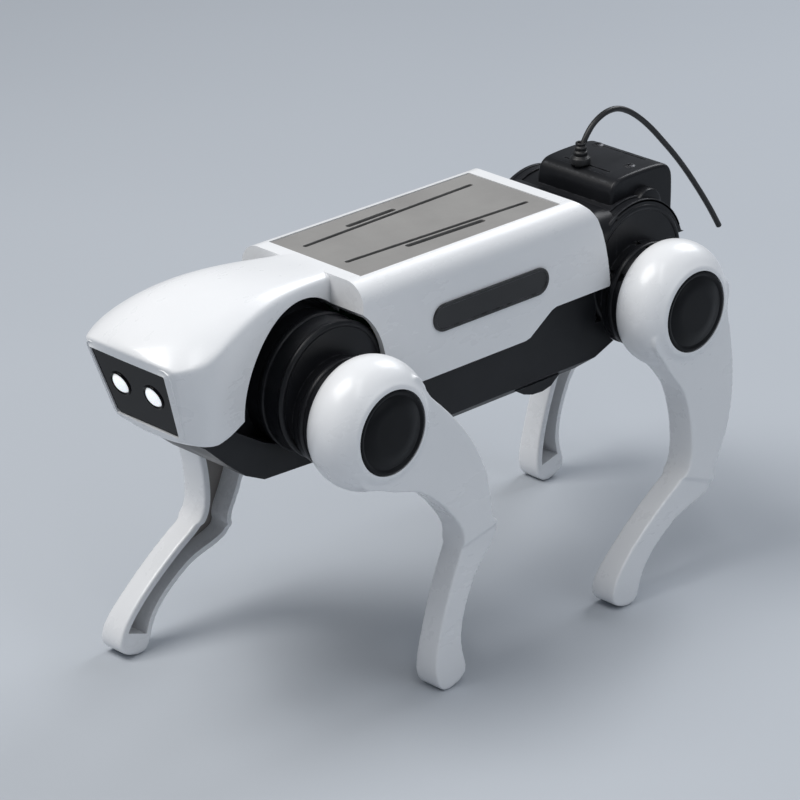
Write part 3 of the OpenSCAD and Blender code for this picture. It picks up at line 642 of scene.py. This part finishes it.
inner = [p for p in inset(outline, 1.75) if math.hypot(*p) > 18 and -71 < p[1]]
first, last = inner[0], inner[-1]
a0, a1 = math.degrees(math.atan2(last[1], last[0])), math.degrees(math.atan2(first[1], first[0]))
inner += arc((0, 0), 18, a0, a1, 10)[1:-1]
channel = prism("channel", inner, 20, 34.6, hip)
leg = boolean(leg, channel)
leg = boolean(leg, lathe("cap_seat", [(36.85, 0), (36.85, 10.4), (40, 10.4), (40, 0)], (0, 0), 1, 128, hip))
leg.set_sharp_from_angle(angle=math.radians(40))
leg.name = "leg_left_side"
leg_right = mirrored(leg, "leg_right_side")
cap = lathe("cap_left_side", [(36.9, 0), (36.9, 10.2), (37.7, 10.2), (37.95, 10.05), (38.0, 9.8), (38.0, 9.3),
                              (37.75, 9.1), (37.75, 8.8), (38.0, 8.6), (38.05, 5), (38.08, 0)], (0, 0), 1, 128, hip)
cap_right = mirrored(cap, "cap_right_side")

for end, hip_s in (("front", FRONT_HIP_S), ("rear", REAR_HIP_S)):
    for word in ("left", "right"):
        forward = (end == "front") == (word == "left")
        angle = math.radians(SWING if forward else -SWING)
        place = Matrix.Translation(at(0, hip_s, HIP_Z)) @ Matrix.Rotation(angle, 4, "X")
        for mesh, name, slot, node in ((leg if word == "left" else leg_right, "leg_shell_", "white_shell", "leg_"),
                                       (cap if word == "left" else cap_right, "cap_disc_", "cap_black", "hip_cap_")):
            tag = "%s_%s" % (end, word)
            mesh = mesh.copy()
            mesh.name = name + tag
            local = [(polygon.center * 1000, polygon.normal.x) for polygon in mesh.polygons]
            mesh.transform(place)
            obj = bpy.data.objects.new(name + tag, mesh)
            bpy.context.scene.collection.objects.link(obj)
            mesh.materials.clear()
            mesh.materials.append(MATS[slot].mat)
            for polygon in mesh.polygons:
                polygon.use_smooth = True
            if slot == "white_shell":
                # Painted shade: the floor of the hollow on the leg's inner side gets the dark material in place of
                # white.
                mesh.materials.append(MATS["inner_grey"].mat)
                side = 1 if word == "left" else -1
                for polygon, (c, nx) in zip(mesh.polygons, local):
                    depth = side * c.x
                    out = math.hypot(c.y, c.z)
                    if out > 17.9 and depth < 34.7 and abs(nx * side + 1) < 0.02 and depth > 34.3:
                        polygon.material_index = 1
            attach(obj, tag + "_leg")
            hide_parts(node + tag)


# ---- black structure: the CAD nodes stay, with rounded edges ------------------

for node in ("chassis", "chin_cover", "battery_door", "gearbox_front", "front_drum_left", "front_drum_right",
             "rear_drum_left", "rear_drum_right"):
    obj = NODES[node]
    w = obj.modifiers.new("weld", "WELD")
    w.merge_threshold = 0.000002
    d = obj.modifiers.new("planar", "DECIMATE")
    d.decimate_type = "DISSOLVE"
    d.angle_limit = math.radians(0.4)
    soft_edges(obj, 0.35, 3, 34)


def ring(name, profile, centre, side, body="torso", slot="black_shell"):
    return put(name, lathe(name, profile, centre, side, 128), body, slot)


# (half width, radius) sections of the rings
DRUM_BAND = [(10.9, 16.3), (11.1, 16.72), (11.5, 16.85), (12.3, 16.85), (12.7, 16.7), (12.85, 16.3), (10.9, 16.3)]
FRONT_LIP = [(17.2, 16.3), (17.4, 16.62), (18.0, 16.7), (18.45, 16.45), (18.62, 16.0), (18.55, 15.2),
             (18.3, 15.1), (17.2, 16.3)]
REAR_LIP = [(17.0, 15.7), (17.2, 16.1), (17.8, 16.2), (18.4, 15.95), (18.62, 15.5), (18.55, 14.8),
            (18.3, 14.7), (17.0, 15.7)]
ARCH_RING = [(6.4, 18.9), (6.9, 18.85), (7.15, 18.5), (7.15, 17.9), (6.9, 17.55), (6.4, 17.5), (6.4, 18.9)]
COLLAR = [(20.2, 12.9), (20.4, 13.35), (20.9, 13.45), (21.7, 13.45), (22.1, 13.3), (22.2, 12.9), (20.2, 12.9)]
RINGS = [("front_drum_band_", DRUM_BAND, FRONT_DRUM),
         ("front_drum_lip_", FRONT_LIP, FRONT_DRUM),
         ("front_arch_ring_", ARCH_RING, ARCH),
         ("front_collar_", COLLAR, (FRONT_HIP_S, HIP_Z)),
         ("rear_collar_", COLLAR, (REAR_HIP_S, HIP_Z)),
         ("rear_drum_lip_", REAR_LIP, REAR_DRUM)]

for side, word in ((1, "left"), (-1, "right")):
    for name, section, centre in RINGS:
        ring(name + word, section, centre, side)

# ---- gearbox cover: a drum-shaped hood with the motor housing on top ----------

MOTOR = (98.0, 93.5)
drum_top = [(p[0], p[1]) for p in arc(REAR_DRUM, 17.2, 17, 115.5, 40) if p[1] >= 84.5]
hood_line = [(109.4, 84.5)] + [p for p in drum_top if p[0] < 109.4] + [(84.6, 84.5)]
cover = prism("gearbox_hood", hood_line, -18.2, 18.2)
cover = modified(cover, ("BEVEL", {"width": 0.0011, "segments": 4, "limit_method": "ANGLE",
                                   "angle_limit": math.radians(40)}))
lump_line = smooth_line([(86.6, 84.5), (86.6, 90), (86.6, 96), (87.0, 99.6), (88.8, 101.6), (92, 102.2), (98, 102.4),
                         (104, 102.2), (107.2, 101.4), (109.0, 99.2), (109.4, 95), (109.4, 90), (109.4, 84.5)], 4,
                        closed=False)
lump = prism("motor_hood", lump_line, -10.9, 14.1)
lump = modified(lump, ("BEVEL", {"width": 0.0034, "segments": 8, "limit_method": "ANGLE",
                                 "angle_limit": math.radians(50)}))
cover = boolean(cover, lump, "UNION")
boss = lathe("boss", [(10, 0), (10, 4.6), (15.9, 4.6), (16.4, 4.35), (16.6, 3.9), (16.6, 0)], MOTOR, 1, 64)
cover = boolean(cover, boss, "UNION")
for s in (89.6, 91.6, 104.4, 106.4):
    groove = block("groove", (-6.2, s - 0.3, 101.9), (9.2, s + 0.3, 104))
    cover = boolean(cover, groove)
cover = boolean(cover, block("core", (-9.6, 88, 83), (12.9, 108, 101.0)))
cover = boolean(cover, prism("core", arc(REAR_DRUM, 15.7, 0, 180, 40), -16.9, 16.9))
soft_edges(put("gearbox_hood", cover, "torso", "black_shell", "gearbox_cover"), 0.22, 2, 36)

# Hoops that stiffen the hood, and its screws
for side, word in ((1, "left"), (-1, "right")):
    for x0, r, tag in ((14.6, 17.2, "inner"), (17.2, 17.0, "outer")):
        hoop = arc(REAR_DRUM, r - 0.5, 24, 158, 48) + list(reversed(arc(REAR_DRUM, r + 0.45, 24, 158, 48)))
        piece = prism("hood_hoop_%s_%s" % (tag, word), hoop, side * x0, side * (x0 + 1.0))
        soft_edges(put("hood_hoop_%s_%s" % (tag, word), piece, "torso", "black_shell"), 0.25, 3)


def screw_head(name, x, s, z, normal, r=1.6):
    """Countersunk cross-head screw seen end on; normal is +1 or -1 along X, or 0 for facing up."""
    if normal:
        spot = lambda h, a, b: at(x + normal * h, s + a, z + b)
    else:
        spot = lambda h, a, b: at(x + a, s + b, z + h)
    head = lathe(name, [(-0.5, 0), (-0.5, r), (0.0, r), (0.22, r * 0.82), (0.3, r * 0.5), (0.32, 0)], (0, 0), 1, 40,
                 lambda h, a, b: spot(h, a, b))
    for a in (0, 90):
        arm = [(-r * 0.55, -0.17), (r * 0.55, -0.17), (r * 0.55, 0.17), (-r * 0.55, 0.17)]
        c, d = math.cos(math.radians(a + 20)), math.sin(math.radians(a + 20))
        turned = [(p * c - q * d, p * d + q * c) for p, q in arm]
        head = boolean(head, prism("slot", turned, -0.1, 1, lambda h, p, q: spot(h, p, q)))
    return soft_edges(put(name, head, "torso", "screw_black"), 0.06, 2)


screw_head("hood_screw_left", 9.6, 98, 102.35, 0)
screw_head("hood_screw_right", -6.6, 104, 102.2, 0)

# ---- carried-over inner nodes get slightly rounded edges -----------------------

for node in ("motor_can", "motor_end_cap", "receiver_board", "board_parts", "switch_body", "switch_slider",
             "battery_cell_left", "battery_cell_right"):
    obj = NODES[node]
    w = obj.modifiers.new("weld", "WELD")
    w.merge_threshold = 0.000002
    soft_edges(obj, 0.15, 2, 50)

# ---- floor, light and world -----------------------------------------------------

bm = bmesh.new()
size = 3.0
floor_mesh = bpy.data.meshes.new("floor")
for x in (-size, size):
    for y in (-size, size):
        bm.verts.new((x, y, -0.00005))
bm.verts.ensure_lookup_table()
bm.faces.new([bm.verts[i] for i in (0, 2, 3, 1)])
bm.normal_update()
bm.to_mesh(floor_mesh)
bm.free()
floor = bpy.data.objects.new("floor", floor_mesh)
bpy.context.scene.collection.objects.link(floor)
ground = Nodes("floor")
ground.link(ground.mix(ground.noise(3, 2), (0.44, 0.47, 0.51), (0.50, 0.53, 0.57)),
            ground.shader.inputs["Base Color"])
ground.shader.inputs["Roughness"].default_value = 0.6
ground.shader.inputs["Specular IOR Level"].default_value = 0.25
floor_mesh.materials.append(ground.mat)


def lamp(name, azimuth, elevation, distance, width, power, colour=(1, 1, 1), height=None):
    data = bpy.data.lights.new(name, "AREA")
    data.shape = "RECTANGLE"
    data.size = width
    data.size_y = height or width
    data.energy = power
    data.color = colour
    obj = bpy.data.objects.new(name, data)
    bpy.context.scene.collection.objects.link(obj)
    a, e = math.radians(azimuth), math.radians(elevation)
    away = Vector((math.sin(a) * math.cos(e), -math.cos(a) * math.cos(e), math.sin(e)))
    obj.location = Vector((0, 0, 0.05)) + away * distance
    obj.rotation_euler = away.to_track_quat("Z", "Y").to_euler()


lamp("key", -30, 60, 0.9, 0.5, 5.6, (1.0, 0.985, 0.96))
lamp("fill", 100, 30, 1.0, 0.7, 1.3, (0.88, 0.94, 1.0))
lamp("rim", 190, 38, 0.9, 0.4, 2.8, (0.95, 0.97, 1.0))
lamp("strip", 62, 66, 0.8, 0.08, 0.9, (1, 1, 1), 0.6)
world = bpy.data.worlds.new("studio")
world.use_nodes = True
world.node_tree.nodes["Background"].inputs[0].default_value = (0.80, 0.86, 0.95, 1)
world.node_tree.nodes["Background"].inputs[1].default_value = 0.26
bpy.context.scene.world = world
bpy.context.scene.view_settings.view_transform = "Standard"
